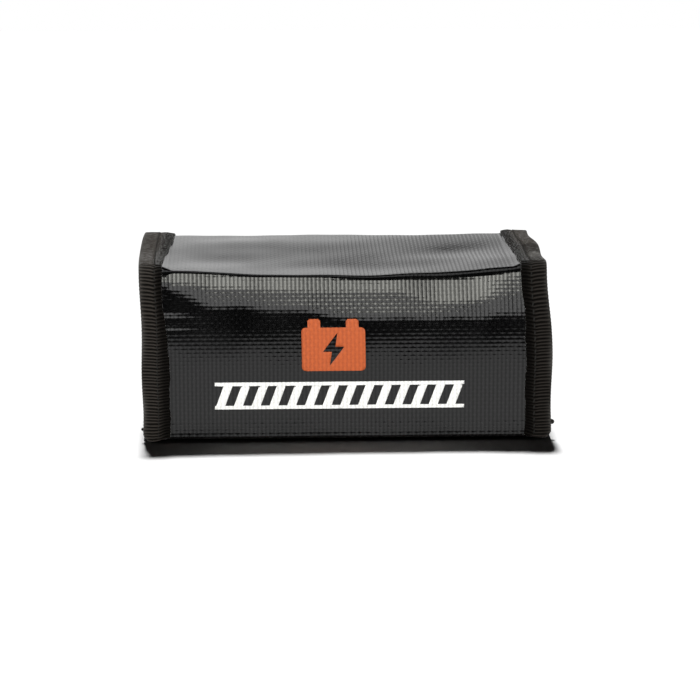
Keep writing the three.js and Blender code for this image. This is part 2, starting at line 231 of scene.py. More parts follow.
def front_lean(x, z):
    """How far the front leans back at a height: upright below, and falling back above two soft breaks."""
    ripple = 0.5 * np.sin(x * 0.11) + 0.3 * np.sin(x * 0.31 + 1)
    low_break = LOW_BREAK + 4.5 * (1 - smooth(-16, 2, x)) + 6.5 * (1 - smooth(-72, -50, x)) + ripple
    high_break = HIGH_BREAK - 5.5 * smooth(10, 46, x) + 1.2 * (1 - smooth(-70, -50, x)) + 0.6 * ripple
    upper = LOW_SLOPE * ramp_area(z, low_break - 3, low_break + 1.5)
    steepness = HIGH_SLOPE - 0.07 * smooth(50, 66, x)
    upper += steepness * ramp_area(z, high_break - 1.5, high_break + 2)
    middle = MIDDLE_SLOPE * ramp_area(z, 27, 46)
    left = 1 - smooth(-74, -44, x)
    crinkle = 0.13 * np.tanh((z - 45.5) / 0.55) * left + 0.12 * np.tanh((z - 50.5) / 0.5) * left
    crinkle *= smooth(30, 40, z) * (1 - smooth(55, 62, z))
    kick = FOOT_SLOPE * np.maximum(10 - z, 0) * smooth(14, 6, z)
    return upper + middle + crinkle - kick - FRONT_PROUD


# Dents and swellings of the lid: the height, centre and size of each.
LID_HUMPS = (
    (-0.75, (-50, -12), (17, 13)),
    (-1.1, (47, 6), (22, 13)),
    (0.5, (-30, 20), (30, 9)),
    (0.45, (60, -20), (11, 12)),
    (-0.35, (8, -22), (24, 8)),
)

# How high the front and back edges of the lid stand in the middle, from its flat.
LID_FRONT = -1.5
LID_BACK = 2.0


def lid_sag(x, y):
    """The height of the lid above its flat: it sags between the tapes, with a few soft dents."""
    towards_front = smooth(BACK, FRONT, y)
    front_edge = LID_FRONT + 2.6 * smooth(-22, -74, x) + 3.4 * smooth(34, 82, x)
    front_edge = front_edge - 0.5 * hump(x, 0, (10, 0), (9, 1))
    back_edge = LID_BACK + 0.4 * smooth(30, 60, x)
    sag = front_edge * towards_front + back_edge * (1 - towards_front)
    for height, centre, size in LID_HUMPS:
        sag = sag + height * hump(x, y, centre, size)
    return sag + 0.12 * np.sin(x * 0.09 + y * 0.05)


# The bulge of the back wall, how far the tapes stand above the lid, and how far the top shifts to the left.
BACK_BULGE = 1.6
TAPE_RISE = 0.9
TOP_SHIFT = 0.6


def warp(point):
    """Carries the square box to the soft shape of the real bag. Every piece goes through it, so layers keep
    their order."""
    point = np.array(point, float)
    x, y, z = point[..., 0].copy(), point[..., 1].copy(), point[..., 2].copy()
    at_front = smooth(16, -22, y)
    at_back = smooth(10, 34, y)
    at_top = smooth(TOP - 24, TOP - 3, z)
    at_end = smooth(TAPE_X - 4, HALF, np.abs(x))
    belly = np.cos(np.clip(x / HALF, -1, 1) * math.pi / 2)
    point[..., 1] += front_lean(x, z) * at_front
    point[..., 1] += BACK_BULGE * at_back * belly * np.sin(np.clip(z / TOP, 0, 1) * math.pi)
    raised = TAPE_RISE * smooth(TAPE_X - 3, TAPE_X + 1.5, np.abs(x))
    raised = raised + 0.5 * at_end * np.sin(y * 0.12 + 1.2 * np.sign(x))
    point[..., 2] += (lid_sag(x, y) + raised) * at_top
    point[..., 0] += np.where(x > 0, 1.5, 0.5) * at_end - TOP_SHIFT * smooth(30, TOP, z)
    left_wave = -0.8 * np.sin(np.clip((BACK - y) / (BACK - FRONT), 0, 1) * math.pi)
    kink = 0.5 * np.sin((y + 14) * 0.13) * smooth(-34, -20, y)
    right_wave = kink - 1.5 - 1.1 * smooth(FRONT, BACK, y)
    wave = np.where(x < 0, left_wave, right_wave) * at_top
    wave = wave + 0.25 * np.sin(z * 0.17 + np.where(x < 0, 0.0, 2.0)) * smooth(0, 12, z)
    point[..., 0] += wave * at_end
    return point


def place(x, s, depth):
    """Points of the covering: x along the bag, s along its path, at a depth inside it."""
    x, s, depth = np.broadcast_arrays(np.asarray(x, float), s, depth)
    yz = PATH.at(s, depth, squareness_at(x))
    return warp(np.stack([x, yz[..., 0], yz[..., 1]], axis=-1))


# ----------------------------------------------------------------------
# Mesh building


def add_object(name, data):
    item = bpy.data.objects.new(name, data)
    bpy.context.scene.collection.objects.link(item)
    return item


def make_piece(name, points, faces, material, weave=None, wear=None, sharp=40):
    """A mesh object from points in millimetres, with its faces turned outwards. weave is each point's place
    on its cloth, with a tape's painted shade as its third value, and wear how worn it is."""
    mesh = bpy.data.meshes.new(name)
    mesh.from_pydata((np.asarray(points).reshape(-1, 3) * MM).tolist(), [], faces)
    mesh.validate()
    mesh.shade_smooth()
    mesh.set_sharp_from_angle(angle=math.radians(sharp))
    if weave is not None:
        layer = mesh.attributes.new("weave", "FLOAT_VECTOR", "POINT")
        layer.data.foreach_set("vector", np.asarray(weave, np.float32).ravel())
    if wear is not None:
        layer = mesh.attributes.new("wear", "FLOAT", "POINT")
        layer.data.foreach_set("value", np.asarray(wear, np.float32).ravel())
    mesh.materials.append(material)
    work = bmesh.new()
    work.from_mesh(mesh)
    bmesh.ops.recalc_face_normals(work, faces=work.faces)
    work.to_mesh(mesh)
    work.free()
    return add_object(name, mesh)


def flat_weave(u, v):
    """The weave of points whose place on a flat cloth is known."""
    return np.stack([u, v, np.zeros_like(u)], axis=-1)


def tube_faces(rows, columns, first=0):
    """Quads between successive rows of a closed loop, and a cap at each end."""
    row = np.arange(rows - 1)[:, None] * columns
    column = np.arange(columns)[None, :]
    beside = (column + 1) % columns
    quads = np.stack([row + column, row + beside, row + columns + beside, row + columns + column], axis=-1)
    faces = (quads.reshape(-1, 4) + first).tolist()
    faces.append((np.arange(columns)[::-1] + first).tolist())
    faces.append((np.arange(columns) + (rows - 1) * columns + first).tolist())
    return faces


def steps(start, end, size):
    """Values from start to end, no further apart than size."""
    return np.linspace(start, end, max(2, int(math.ceil(abs(end - start) / size)) + 1))


def settle(piece, moves, slot, *nodes):
    """Says what a piece moves with and which CAD nodes it replaces; slot is not used. moves is the name of
    a body, or a function that bakes the piece's placement into its mesh."""
    if isinstance(moves, str):
        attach(piece, moves)
    else:
        moves(piece)
    if nodes:
        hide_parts(*nodes)
    return piece


# The spacing of a sheet's points. Across the bag they are spaced as on a sheet of this half width.
SHEET_STEP = 1.1
NOMINAL_HALF = 72


def layer_sheet(name, material, s_range, depths, half_width, step=SHEET_STEP, ruffle=None):
    """A sheet of one layer of the covering, with its thickness. half_width may change along the path."""
    s_line = steps(*s_range, step)
    outer, inner = depths
    edge = (inner - outer) / 4
    loop_s = np.concatenate([s_line, s_line[-1:] + edge, s_line[::-1], s_line[:1] - edge])
    middle = (outer + inner) / 2
    count = len(s_line)
    loop_d = np.concatenate([np.full(count, outer), [middle], np.full(count, inner), [middle]])
    share = steps(-1, 1, step / NOMINAL_HALF)
    width = half_width(loop_s) if callable(half_width) else np.full(len(loop_s), float(half_width))
    x = share[:, None] * width[None, :]
    s = np.broadcast_to(loop_s, x.shape)
    depth = np.broadcast_to(loop_d, x.shape)
    if ruffle is not None:
        depth = depth + ruffle(x, s)
    points = place(x, s, depth)
    travelled = np.cumsum(np.linalg.norm(np.diff(points[:, :count], axis=1), axis=2), axis=1)
    travelled = np.concatenate([np.zeros((len(points), 1)), travelled], axis=1) + s_line[0]
    length = np.concatenate([travelled, travelled[:, -1:], travelled[:, ::-1], travelled[:, :1]], axis=1)
    return make_piece(name, points, tube_faces(*x.shape), material, flat_weave(x, length))


RIB_PITCH = 1.27
RIB_HEIGHT = 0.3
FOLD_RADIUS = 0.9


def tape_loop():
    """The cross-section of a binding tape: how far each point is from the folded edge, its depth, the outward
    direction there, and how much of the ribs' height shows: all of it, but none inside the fold."""
    width, depth, thick = TAPE_WIDTH, TAPE_DEPTH, TAPE_THICK
    radius = min(FOLD_RADIUS, depth / 2)
    outer_face = np.linspace(width - 0.4, FOLD_RADIUS, 15)
    inner_face = outer_face[::3]
    inside = np.linspace(width - 0.1, thick + 0.2, 4)
    corner = np.linspace(0, math.pi / 2, 4)[1:]

    def face(edges, at_depth):
        return np.stack([edges, np.full(len(edges), at_depth)], axis=1)

    first_turn = [FOLD_RADIUS - FOLD_RADIUS * np.sin(corner), radius - radius * np.cos(corner)]
    second_turn = [FOLD_RADIUS - FOLD_RADIUS * np.cos(corner), depth - radius + radius * np.sin(corner)]
    outer_parts = [
        [[width, thick * 0.8], [width, thick * 0.35], [width - 0.12, 0.08]],
        face(outer_face, 0.0),
        np.stack(first_turn, axis=1),
        np.stack(second_turn, axis=1),
        face(inner_face[::-1], depth),
        [[width - 0.12, depth - 0.08], [width, depth - thick * 0.35], [width, depth - thick * 0.8]],
    ]
    inner_parts = [
        face(inside, depth - thick),
        [[thick, depth - thick - 0.2], [thick, thick + 0.2]],
        face(inside[::-1], thick),
    ]
    points = np.concatenate(outer_parts + inner_parts)
    tangent = np.roll(points, -1, axis=0) - np.roll(points, 1, axis=0)
    normal = np.stack([-tangent[:, 1], tangent[:, 0]], axis=1)
    normal /= np.linalg.norm(normal, axis=1)[:, None]
    shown = np.ones(len(points))
    shown[-sum(len(part) for part in inner_parts) :] = 0
    return points, normal, shown


def binding(
    name, start, end, map_point, depth=TAPE_DEPTH, phase=0.0, side=1, scuff=None, widen=None, tone=1.0
):
    """Ribbed tape folded over an edge. map_point turns (distance along, distance from the folded edge, depth)
    to a point. depth may be a function of the distance along, and widen is one that scales the width."""
    along = steps(start, end, RIB_PITCH / 6)
    points, normal, shown = tape_loop()
    edge = points[:, 0][None, :]
    row = along[:, None]
    total = depth(row) if callable(depth) else depth
    deep = points[:, 1][None, :] * total / TAPE_DEPTH
    near_seam = np.exp(-(((edge - SEAM_INSET) / 1.1) ** 2))
    inner_part = np.maximum(edge - SEAM_INSET, 0)
    skew = 0.05 * edge - 0.17 * inner_part + 0.2 * near_seam + 0.25 * np.sin(row * 0.07 + side)
    skew = skew + 0.09 * np.sin(row * 0.83 + 2 * side) + 0.05 * np.sin(row * 1.9 + edge * 0.6)
    turn = 2 * math.pi * (row + skew + phase) / RIB_PITCH
    rib = (0.5 + 0.5 * np.cos(turn)) ** 1.8
    selvedge = smooth(0, 0.8, TAPE_WIDTH - edge)
    stitch_row = np.exp(-(((edge - SEAM_INSET) / 0.55) ** 2))
    height = RIB_HEIGHT * (rib - 1) * (0.35 + 0.65 * selvedge) - 0.18 * stitch_row
    height = height * shown[None, :] * (0.4 + 0.6 * smooth(0.2, 1.6, edge))
    wavy = 0.16 * np.sin(row * 0.33 + side) + 0.1 * np.sin(row * 0.81) + 0.06 * np.sin(row * 2.3)
    edge_here = edge + normal[None, :, 0] * height + wavy * smooth(TAPE_WIDTH * 0.55, TAPE_WIDTH, edge)
    depth_here = deep + normal[None, :, 1] * height
    if widen is not None:
        edge_here = edge_here * (1 + (widen(row) - 1) * smooth(0, TAPE_WIDTH, edge))
    position = map_point(row, edge_here, depth_here)
    full_row = np.broadcast_to(row, rib.shape)
    full_edge = np.broadcast_to(edge, rib.shape)
    # Painted shade: the tape is darker from its seam to its inner edge and between its ribs, all scaled by
    # tone.
    painted_inner_shade = 0.82 * smooth(SEAM_INSET - 1.2, TAPE_WIDTH - 1.6, edge) * shown[None, :]
    shade = tone * (0.06 + 0.94 * rib) * (1 - painted_inner_shade)
    weave = np.stack([full_row, full_edge, shade], axis=-1)
    fold = np.exp(-((edge / 1.3) ** 2)) * (0.35 + 0.3 * np.sin(row * 0.21 + side) * np.sin(row * 0.057))
    wear = np.broadcast_to(np.clip(fold, 0, 1), rib.shape).copy()
    if scuff is not None:
        wear += scuff(full_row, full_edge)
    return make_piece(name, position, tube_faces(*rib.shape), TAPE, weave, np.clip(wear, 0, 1), sharp=70)


STITCH_PITCH = 2.5
STITCH_LENGTH = 1.9
STITCH_WIDTH = 0.5
STITCH_LIFT = 0.15
STITCH_SUNK = 0.08


def stitches(name, centres, map_point):
    """A row of stitches. Each centre is a distance along the seam. map_point turns (along, across, up) to a
    point."""
    bends, rounds = 7, 8
    lengthwise = np.linspace(-1, 1, bends)[:, None]
    around = np.linspace(0, 2 * math.pi, rounds, endpoint=False)[None, :]
    girth = np.sqrt(np.clip(1.02 - lengthwise**2, 0.02, 1))
    dive = -0.25 * lengthwise**4
    slant = 0.12 * lengthwise
    along = lengthwise * STITCH_LENGTH / 2 + 0 * around
    across = girth * np.cos(around) * STITCH_WIDTH / 2 + slant
    up = girth * np.sin(around) * STITCH_LIFT + dive
    points, faces = [], []
    for number, centre in enumerate(centres):
        points.append(map_point(centre + along, across, up).reshape(-1, 3))
        faces += tube_faces(bends, rounds, first=number * bends * rounds)
    return make_piece(name, np.concatenate(points), faces, THREAD, sharp=80)


def stitch_both_faces(prefix, centres, map_at, inner_depth, moves, *nodes):
    """The stitches of a seam through a tape, on its outer and its inner face. map_at gives the map_point for
    a depth and a direction, 1 outwards and -1 inwards."""
    outer = stitches(f"{prefix}_stitches", centres, map_at(STITCH_SUNK, 1))
    inner = stitches(f"{prefix}_inner_stitches", centres, map_at(inner_depth - STITCH_SUNK, -1))
    settle(outer, moves, "thread", *nodes)
    settle(inner, moves, "thread")


# ----------------------------------------------------------------------
# Materials


class Nodes:
    """A material's node tree, with short calls for what the materials here share."""

    def __init__(self, name):
        self.material = bpy.data.materials.new(name)
        self.material.use_nodes = True
        self.tree = self.material.node_tree
        self.shader = self.tree.nodes["Principled BSDF"]

    def new(self, kind, **settings):
        node = self.tree.nodes.new(kind)
        for key, value in settings.items():
            setattr(node, key, value)
        return node

    def link(self, source, target):
        self.tree.links.new(source, target)

    def feed(self, socket, value):
        if isinstance(value, bpy.types.NodeSocket):
            self.link(value, socket)
        else:
            socket.default_value = value

    def shade(self, label, value):
        """Sets or links one of the shader's own inputs."""
        self.feed(self.shader.inputs[label], value)

    def math(self, operation, first, second=0.0):
        node = self.new("ShaderNodeMath", operation=operation)
        self.feed(node.inputs[0], first)
        self.feed(node.inputs[1], second)
        return node.outputs[0]

    def times(self, first, second):
        return self.math("MULTIPLY", first, second)

    def plus(self, first, second):
        return self.math("ADD", first, second)

    def cosine(self, angle):
        return self.math("COSINE", angle)

    def attribute(self, name):
        return self.new("ShaderNodeAttribute", attribute_name=name)

    def split(self, vector):
        node = self.new("ShaderNodeSeparateXYZ")
        self.link(vector, node.inputs[0])
        return node.outputs

    def noise(self, vector, scale, detail=3.0, roughness=0.55):
        node = self.new("ShaderNodeTexNoise")
        self.link(vector, node.inputs["Vector"])
        node.inputs["Scale"].default_value = scale
        node.inputs["Detail"].default_value = detail
        node.inputs["Roughness"].default_value = roughness
        return node.outputs["Fac"]

    def spread(self, value, low, high, to_low, to_high):
        node = self.new("ShaderNodeMapRange")
        self.feed(node.inputs["Value"], value)
        for label, number in (("From Min", low), ("From Max", high), ("To Min", to_low), ("To Max", to_high)):
            node.inputs[label].default_value = number
        return node.outputs["Result"]

    def mix(self, factor, first, second):
        node = self.new("ShaderNodeMix", data_type="RGBA")
        self.feed(node.inputs["Factor"], factor)
        for socket, colour in ((node.inputs["A"], first), (node.inputs["B"], second)):
            self.feed(socket, colour if isinstance(colour, bpy.types.NodeSocket) else (*colour, 1.0))
        return node.outputs["Result"]

    def bump(self, height, distance, strength=1.0, normal=None):
        node = self.new("ShaderNodeBump")
        node.inputs["Strength"].default_value = strength
        node.inputs["Distance"].default_value = distance
        self.link(height, node.inputs["Height"])
        if normal is not None:
            self.link(normal, node.inputs["Normal"])
        return node.outputs["Normal"]


# The yarns of the black cloth: their spacing in millimetres, how far the upright ones step aside, in yarns,
# and how much they rise where a level one crosses them.
YARN_PITCH = (1.6, 1.58)
YARN_ZIGZAG = 0.03
YARN_NOTCH = 0.1


def plain_weave(nodes, pitch, sunk, sway):
    """The height of a plain weave: each yarn goes over one and under the next. pitch is the distance between
    yarns across and along the cloth, sunk is how far the level yarns lie below the upright ones, and sway how
    much each yarn rises and falls."""
    u, v, _ = nodes.split(nodes.attribute("weave").outputs["Vector"])
    u = nodes.math("DIVIDE", u, pitch[0])
    v = nodes.math("DIVIDE", v, pitch[1])
    row = nodes.math("ROUND", v)
    weaving = nodes.times(nodes.plus(v, nodes.math("ROUND", u)), math.pi)
    u = nodes.plus(u, nodes.times(nodes.cosine(weaving), YARN_ZIGZAG))
    column = nodes.math("ROUND", u)

    def yarn(position, centre, other, relief, lift):
        offset = nodes.times(nodes.math("SUBTRACT", position, centre), math.pi)
        hill = nodes.times(nodes.cosine(offset), relief)
        phase = nodes.times(nodes.plus(other, centre), math.pi)
        wave = nodes.times(nodes.cosine(phase), sway)
        return nodes.plus(nodes.plus(hill, wave), lift)

    along = nodes.times(v, 2 * math.pi)
    notch = nodes.times(nodes.cosine(along), YARN_NOTCH)
    upright = yarn(u, column, v, 1.0, notch)
    level = yarn(v, row, nodes.plus(u, 1.0), 1.0 - sunk, 0.0)
    return nodes.math("MAXIMUM", upright, level)


def coated_cloth(name, dark, light, roughness, weave_height, pitch=YARN_PITCH, sunk=0.8, sway=0.05):
    """Glass cloth under a glossy coating that leaves the weave showing, with painted shade in the weave's
    hollows.
    """
    nodes = Nodes(name)
    place_on_cloth = nodes.attribute("weave").outputs["Vector"]
    height = plain_weave(nodes, pitch, sunk, sway)
    patches = nodes.noise(place_on_cloth, 0.045, 4.0)
    fine = nodes.noise(place_on_cloth, 2.1, 2.0)
    # Painted shade: the weave's hollows take the dark colour and the yarn tops the light one, mixed with
    # random patches.
    raised = nodes.spread(height, 0.25, 0.8, 0.0, 1.0)
    tone = nodes.plus(nodes.times(raised, 0.55), nodes.times(patches, 0.45))
    nodes.shade("Base Color", nodes.mix(tone, dark, light))
    broad_grain = nodes.spread(patches, 0.3, 0.7, -0.05, 0.06)
    fine_grain = nodes.spread(fine, 0.3, 0.7, -0.03, 0.03)
    nodes.shade("Roughness", nodes.plus(nodes.plus(broad_grain, fine_grain), roughness))
    # Painted shade: the hollows of the weave reflect less than the yarn tops.
    nodes.shade("Specular IOR Level", nodes.spread(height, 0.3, 1.1, 0.34, 0.52))
    weave_normal = nodes.bump(height, weave_height * MM)
    nodes.shade("Normal", nodes.bump(fine, 0.012 * MM, 0.6, weave_normal))
    return nodes.material


def ribbed_tape(name, painted_valley_shade, rib, worn):
    """Woven binding tape: matt yarn, with painted shade between the ribs, and paler where it is rubbed."""
    nodes = Nodes(name)
    vector = nodes.attribute("weave").outputs["Vector"]
    # The weave's third value is the tape's painted shade, not a height: low values paint the valley's dark
    # colour.
    along, across, height = nodes.split(vector)
    yarn = nodes.new("ShaderNodeCombineXYZ")
    nodes.link(nodes.times(along, 2.4), yarn.inputs[0])
    nodes.link(nodes.times(across, 5.5), yarn.inputs[1])
    strand = nodes.noise(yarn.outputs[0], 1.0, 2.0)
    broad = nodes.noise(vector, 0.12, 3.0)
    strand_tone = nodes.spread(strand, 0.25, 0.75, -0.12, 0.12)
    tone = nodes.plus(nodes.times(height, 0.95), strand_tone)
    base = nodes.mix(tone, painted_valley_shade, rib)
    rubbed_strands = nodes.spread(strand, 0.35, 0.65, 0.1, 1.0)
    rubbed = nodes.times(nodes.attribute("wear").outputs["Fac"], rubbed_strands)
    rubbed = nodes.times(rubbed, nodes.spread(broad, 0.3, 0.7, 0.35, 1.0))
    nodes.shade("Base Color", nodes.mix(rubbed, base, worn))
    nodes.shade("Roughness", nodes.spread(strand, 0.2, 0.8, 0.72, 0.92))
    # Painted shade: the tape also reflects less where its shade is painted.
    nodes.shade("Specular IOR Level", nodes.times(height, 0.2))
    nodes.shade("Sheen Weight", 0.5)
    nodes.shade("Sheen Roughness", 0.3)
    fibre = nodes.cosine(nodes.times(across, 2 * math.pi / 0.42))
    fibre_height = nodes.plus(nodes.times(fibre, 0.5), strand)
    nodes.shade("Normal", nodes.bump(fibre_height, 0.05 * MM, 0.8))
    return nodes.material


def fibrous(name, dark, light, roughness, scale, height, sheen=0.3):
    """Felt, hook tape, loop tape and thread: short fibres at a stated number to the millimetre."""
    nodes = Nodes(name)
    where = nodes.new("ShaderNodeTexCoord").outputs["Object"]
    fibres = nodes.noise(where, scale / MM, 4.0, 0.7)
    clouds = nodes.noise(where, 60.0, 3.0)
    tone = nodes.plus(nodes.times(fibres, 0.7), nodes.times(clouds, 0.3))
    nodes.shade("Base Color", nodes.mix(nodes.spread(tone, 0.3, 0.7, 0.0, 1.0), dark, light))
    nodes.shade("Roughness", nodes.spread(fibres, 0.3, 0.7, roughness - 0.08, roughness + 0.05))
    nodes.shade("Sheen Weight", sheen)
    nodes.shade("Specular IOR Level", 0.2)
    nodes.shade("Normal", nodes.bump(fibres, height * MM, 0.9))
    return nodes.material


def screen_print(name, colour, thin):
    """Ink lying on the cloth: the weave shows through it, and it is thinner over the hollows."""
    nodes = Nodes(name)
    vector = nodes.attribute("weave").outputs["Vector"]
    height = plain_weave(nodes, YARN_PITCH, 0.5, 0.2)
    speck = nodes.noise(vector, 1.7, 3.0)
    patches = nodes.noise(vector, 0.09, 3.0)
    hollow = nodes.spread(height, 0.45, 1.05, 1.0, 0.0)
    worn = nodes.times(hollow, nodes.spread(speck, 0.35, 0.75, 0.4, 1.0))
    worn = nodes.times(worn, nodes.spread(patches, 0.3, 0.7, 0.6, 1.0))
    nodes.shade("Base Color", nodes.mix(worn, colour, thin))
    nodes.shade("Roughness", nodes.spread(speck, 0.3, 0.7, 0.43, 0.58))
    nodes.shade("Specular IOR Level", 0.3)
    nodes.shade("Normal", nodes.bump(height, 0.1 * MM))
    return nodes.material


def grey(level):
    return (level, level, level)


# Each cloth's darker colour is painted into the hollows of its weave as shade.
BLACK_CLOTH = coated_cloth(
    "black_coated_cloth", (0.0015, 0.0015, 0.0016), (0.003, 0.003, 0.0032), 0.12, 0.085
)
GREY_LINING = coated_cloth(
    "grey_lining_cloth", (0.1, 0.105, 0.108), (0.2, 0.205, 0.21), 0.5, 0.08, (0.9, 0.9), sunk=0.1, sway=0.3
)
# The tape's first colour is painted shade for the valleys between its ribs.
TAPE = ribbed_tape("black_binding_tape", (0.0008, 0.0007, 0.0006), (0.04, 0.034, 0.029), (0.17, 0.165, 0.155))
FELT_FIBRE = fibrous("off_white_felt", (0.42, 0.4, 0.34), (0.68, 0.65, 0.57), 0.95, 1.2, 0.2)
LOOP_FIBRE = fibrous("black_loop_pile", grey(0.008), grey(0.04), 0.92, 2.2, 0.12)
HOOK_PLASTIC = fibrous("black_hook_tape", grey(0.006), grey(0.025), 0.6, 1.5, 0.06, sheen=0.0)
THREAD = fibrous("black_thread", (0.003, 0.0028, 0.0025), (0.014, 0.013, 0.0115), 0.85, 4.0, 0.04, sheen=0.03)
ORANGE_INK = screen_print("orange_ink", (0.46, 0.09, 0.02), (0.3, 0.055, 0.013))
WHITE_INK = screen_print("white_ink", (0.93, 0.93, 0.91), (0.5, 0.5, 0.49))


# ----------------------------------------------------------------------
# Pieces of the covering


def over_back(piece):
    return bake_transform(piece)


def over_front(piece):
    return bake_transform(piece)


def ruffled(x, s):
    """Small unevenness of a sewn cloth layer, too little to reach the layers beside it."""
    return 0.035 * np.sin(x * 0.37 + s * 0.11) + 0.03 * np.sin(x * 0.13 - s * 0.29 + 2)


def build_covering():
    """The cloth of the body, lid and flap."""
    hem_foot, fine_step = 0.75, 0.9
    pieces = []
    for name, s_range, step, moves, node in (
        ("body_cloth", (S_BACK_JOIN, S_MOUTH - MOUTH_INSET), SHEET_STEP, "body", "wrap_panel"),
        ("lid_cloth", (S_FLAP_JOIN, S_BACK_JOIN), fine_step, over_back, "lid_panel"),
        ("flap_cloth", (hem_foot, S_FLAP_JOIN), fine_step, over_front, "flap_panel"),
    ):
        piece = layer_sheet(name, BLACK_CLOTH, s_range, CLOTH, SHEET_HALF, step, ruffled)
        pieces.append(settle(piece, moves, "cloth", node))
    return pieces


def declare_covering(body, lid, flap):
    """Defines, and never calls, a helper that finds both tapes at a place on the bag. body, lid and flap are
    not used.
    """

    def tapes(place_on_bag):
        return [bpy.data.objects[f"{label}_tape_{place_on_bag}"] for _, label in SIDES]


def build_hem():
    """The turned-in lower edge of the flap's cloth."""
    low, top, step = 0.55, 7.5, 1.2
    outer, inner, thick = CLOTH[0], LINING[1] + AIR, CLOTH_THICK
    turn = np.linspace(0, math.pi, 9)
    middle = (outer + inner + thick) / 2
    reach = (inner + thick - outer) / 2

    def arc(radius, drop):
        return np.stack([low + drop - drop * np.sin(turn), middle - radius * np.cos(turn)], axis=1)

    up = steps(low + 1, top, step)[:, None]
    outside = np.concatenate([arc(reach, 0.75), np.hstack([up, np.full_like(up, inner + thick)])])
    inside = np.concatenate([arc(reach - thick, 0.25) + [0.55, 0], np.hstack([up, np.full_like(up, inner)])])
    loop = np.concatenate([outside, inside[::-1]])
    x = steps(-TAPE_X + 0.4, TAPE_X - 0.4, step)[:, None]
    s = loop[None, :, 0] + 0.08 * np.sin(x * 0.3)
    x = np.broadcast_to(x, s.shape)
    weave = flat_weave(x, s - 7 * (loop[None, :, 1] > middle))
    points = place(x, s, np.broadcast_to(loop[None, :, 1], s.shape))
    settle(make_piece("flap_hem", points, tube_faces(*s.shape), BLACK_CLOTH, weave), "front_flap", "cloth")


def build_linings():
    """The grey lining inside the body, the lid and the flap."""

    def room_to_full(s):
        return SHEET_HALF - 1 - (SHEET_HALF - 1 - ROOM_HALF) * smooth(S_LID_END - 4, S_LID_END + 1, s)

    layers = (
        ("body_lining", "wrap_lining", "body", (S_BACK_JOIN, S_MOUTH - MOUTH_INSET), ROOM_HALF),
        ("lid_inner_lining", "lid_lining", over_back, (S_FLAP_JOIN, S_BACK_JOIN), room_to_full),
        ("flap_inner_lining", "flap_lining", over_front, (1.6, S_FLAP_JOIN), SHEET_HALF - 1),
    )
    cuts = (
        (2 * ROOM_HALF, S_MOUTH - S_BACK_JOIN, "bottom_felt_board"),
        (2 * SHEET_HALF, S_BACK_JOIN - S_FLAP_JOIN, "lid_felt_board"),
        (2 * SHEET_HALF, S_FLAP_JOIN, "flap_felt_board"),
    )
    for (name, node, moves, s_range, half_width), (width, length, board) in zip(layers, cuts):
        piece = layer_sheet(name, GREY_LINING, s_range, LINING, half_width)
        settle(piece, moves, "lining", node)


def build_felts():
    """The felt boards between cloth and lining, one to each flat wall."""
    gap, step = 0.03, 2.5
    boards = (
        ("flap_felt_board", "flap_felt", "front_flap", (1.7, S_FRONT_FOLD - 2), SHEET_HALF - 1),
        ("lid_felt_board", "lid_felt", "lid", (S_LID + 2, S_LID_END - 2), SHEET_HALF - 1),
        ("back_felt_board", "back_wall_felt", "body", (S_BACK + 4, S_FLOOR - 7), ROOM_HALF),
        ("bottom_felt_board", "bottom_felt", "body", (S_FLOOR + 1, S_FLOOR_END - 1), ROOM_HALF),
        ("front_felt_board", "front_wall_felt", "body", (S_WALL + 1, S_MOUTH - 1.2), ROOM_HALF),
    )
    for name, node, body, s_range, half_width in boards:
        piece = layer_sheet(name, FELT_FIBRE, s_range, (FELT[0] + gap, FELT[1] - gap), half_width, step)
        settle(piece, body, "felt", node)


def tape_on_covering(side):
    """For a tape at one end of the bag: from along, distance from the folded edge and depth, to a point."""

    def map_point(along, edge, depth):
        radius = 3.2
        rise = np.clip(radius - along, 0, radius)
        inset = radius - np.sqrt(radius**2 - rise**2)
        edge = edge + inset * (1 - edge / TAPE_WIDTH)
        foot = 1.2 * smooth(3.5, TAPE_WIDTH, edge) * (1 - smooth(0, 14, along))
        return place(side * (HALF - edge), along + foot, depth)

    return map_point


def stitch_on_covering(side, depth, outwards):
    def map_point(along, across, up):
        return place(side * (SEAM_X + across), along, depth - outwards * up)

    return map_point


def body_tape_depth(s):
    """The body's tape is thinner than the lid's, and eases from one to the other below the back edge."""
    return TAPE_DEPTH + (BODY_TAPE_DEPTH - TAPE_DEPTH) * smooth(S_BACK_JOIN, S_BACK_JOIN + 12, s)


def left_width(s):
    """The left tape looks narrow where it turns over the front crease, and wide at the back."""
    return 1.08 - 0.2 * smooth(30, S_FRONT_FOLD - 6, s) + 0.32 * smooth(S_LID, S_LID_END, s)


def right_width(s):
    """The right tape is narrow at the foot of the flap and wide behind."""
    return 0.9 + 0.08 * smooth(48, S_FRONT_FOLD, s) + 0.16 * smooth(S_LID + 4, S_LID_END, s)


def right_scuff(along, edge):
    """A rubbed patch on top of the right tape, near the front."""
    large = 1.8 * hump(along, edge, (S_LID + 14, 2.6), (3.2, 1.7))
    return large + 1.1 * hump(along, edge, (S_LID + 9, 4.4), (2.4, 1.2))


